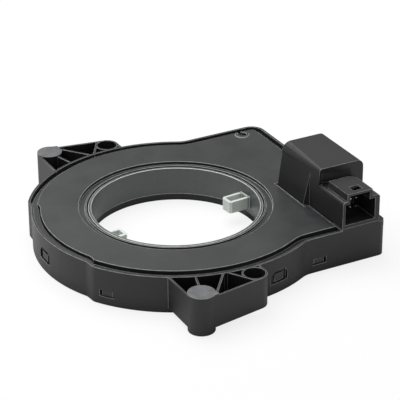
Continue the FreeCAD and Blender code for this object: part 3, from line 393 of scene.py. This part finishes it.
contact_metal = plain_finish(
    "tin-plated wire", "#B9B4A8", "#D6D2C8", roughness=0.28, metallic=1.0, grain_mm=0.12
)
magnet_face = plain_finish(
    "ground ferrite", "#2E2E31", "#3B3B3F", roughness=0.45, grain_mm=0.1
)
board_face = plain_finish(
    "green solder mask", "#123D22", "#17482A", roughness=0.30, grain_mm=0.5, patch_mm=2.2
)
package = plain_finish(
    "moulded epoxy package", "#161616", "#1E1E1F", roughness=0.55, grain_mm=0.15
)
ferrite = plain_finish("wound ferrite choke", "#26262A", "#303034", roughness=0.5)
metal_can = plain_finish(
    "ground metal can", "#A9A69E", "#C2BFB7", roughness=0.3, metallic=1.0
)
ceramic = plain_finish("fired ceramic", "#7A6146", "#8B7153", roughness=0.5)
print("finishes of the circuit ready")

# %% [markdown]
# ## A finish for each piece
#
# The record names the material slot of each node, so a piece takes the finish of its
# slot and no piece is left out.

# %% A finish for each piece
FINISHES = {
    "housing_plastic": housing_plastic,
    "lid_plastic": lid_plastic,
    "ring_plastic": ring_plastic,
    "gear_plastic": gear_plastic,
    "magnet": magnet_face,
    "board": board_face,
    "chip": package,
    "ferrite": ferrite,
    "can": metal_can,
    "ceramic": ceramic,
    "contact_metal": contact_metal,
}
for part in frame["record"]["subparts"]:
    mesh = nodes[part["node"]].data
    mesh.materials.clear()
    mesh.materials.append(FINISHES[part["material_slot"]])

# %% [markdown]
# ## Rounded edges
#
# A mould never has a perfectly sharp corner, and the small radius is what draws the thin
# bright lines round every rim in the photograph. A bevel whose face is a fifth of a
# millimetre wide rounds the edges, and no flat face moves; its narrow faces take a pale
# material that paints the bright lines in as a highlight. The CAD mesh is loose
# triangles, so its corners are welded first. The weighted normals at the end keep the
# flat faces flat beside the rounded ones.

# %% Rounded edges
WELD_MM = 0.002
BEVEL_SEGMENTS = 2
SHARP_ANGLE = math.radians(32.0)


def soften(node, width_mm, highlight_material):
    """Round a CAD node's sharp edges and paint a highlight on the narrow new faces."""
    piece = nodes[node]
    piece.data.materials.append(highlight_material)
    weld = piece.modifiers.new("weld", "WELD")
    weld.merge_threshold = WELD_MM * MM
    bevel = piece.modifiers.new("edges", "BEVEL")
    bevel.offset_type = "WIDTH"
    bevel.width = width_mm * MM
    bevel.segments = BEVEL_SEGMENTS
    bevel.limit_method = "ANGLE"
    bevel.angle_limit = SHARP_ANGLE
    # The narrowest face would otherwise hold back the bevels of the whole piece.
    bevel.use_clamp_overlap = False
    # The narrow bevel faces take the second material, the painted highlight.
    bevel.material = 1
    normals = piece.modifiers.new("normals", "WEIGHTED_NORMAL")
    normals.keep_sharp = True
    normals.weight = 100
    print("rounded the edges of", node, "by", width_mm, "mm")


soften("housing", 0.15, housing_edge_highlight)
soften("lid", 0.21, lid_edge_highlight)
soften("drive_ring", 0.17, ring_edge_highlight)

# %% [markdown]
# ## Floor
#
# The sensor lies on a plain pale table. The camera sees the table almost white, because
# part of what it sees is plain white light, but the object gets from it only the light
# that a pale table would give. The soft shadow of the object stays visible.

# %% Floor
FLOOR_SIZE = 6.0
FLOOR_GAP_MM = 0.2
WHITE_SHARE = 0.82
WHITE = (1, 1, 1, 1)
bpy.ops.object.select_all(action="DESELECT")
bpy.ops.mesh.primitive_plane_add(size=FLOOR_SIZE, location=(0, 0, 0))
floor = bpy.context.object
floor.name = "floor"
for vertex in floor.data.vertices:
    vertex.co.z = cad_box[0][2] - FLOOR_GAP_MM * MM
floor_paint, tree = empty_material("pale table")
eye = add(tree, "LightPath").outputs["Is Camera Ray"]
seen = add(tree, "Math", {0: eye, 1: WHITE_SHARE}, operation="MULTIPLY").outputs[0]
matt = add(tree, "BsdfDiffuse", {"Color": colour("#E6E6E6")}).outputs[0]
white = add(tree, "Emission", {"Color": WHITE, "Strength": 1.0}).outputs[0]
table_top = add(tree, "MixShader", {0: seen, 1: matt, 2: white})
add(tree, "OutputMaterial", {"Surface": table_top.outputs[0]})
floor.data.materials.append(floor_paint)
print("floor at", round(floor.data.vertices[0].co.z / MM, 2), "mm")

# %% [markdown]
# ## Light
#
# The studio is pale all round, and the camera sees it white. One large soft box hangs
# above the object and a little behind it. That makes the flat tops pale and leaves the
# walls that face the camera dark, as in the photograph.

# %% Light
STUDIO_LEVEL = 0.42
BOX_PLACE = Vector((-0.06, 0.20, 0.55))
BOX_AIM = Vector((0.0, 0.0, 0.01))
BOX_SIZE = 0.6
BOX_WATTS = 4.6
world = bpy.data.worlds.new("studio")
bpy.context.scene.world = world
world.use_nodes = True
tree = world.node_tree
tree.nodes.clear()
eye = add(tree, "LightPath").outputs["Is Camera Ray"]
around = add(tree, "Background", {"Color": WHITE, "Strength": STUDIO_LEVEL}).outputs[0]
backdrop = add(tree, "Background", {"Color": WHITE, "Strength": 1.0}).outputs[0]
sky = add(tree, "MixShader", {0: eye, 1: around, 2: backdrop})
add(tree, "OutputWorld", {"Surface": sky.outputs[0]})

lamp = bpy.data.lights.new("overhead soft box", "AREA")
lamp.size = BOX_SIZE
lamp.energy = BOX_WATTS
holder = bpy.data.objects.new("overhead soft box", lamp)
bpy.context.scene.collection.objects.link(holder)
holder.location = BOX_PLACE
holder.rotation_euler = (BOX_PLACE - BOX_AIM).to_track_quat("Z", "Y").to_euler()
print("studio at", STUDIO_LEVEL, "and a soft box of", BOX_WATTS, "W")

# %% [markdown]
# ## Finish
#
# The standard view transform is used, so the colours are shown without a tone curve.

# %% Finish
bpy.context.scene.view_settings.view_transform = "Standard"
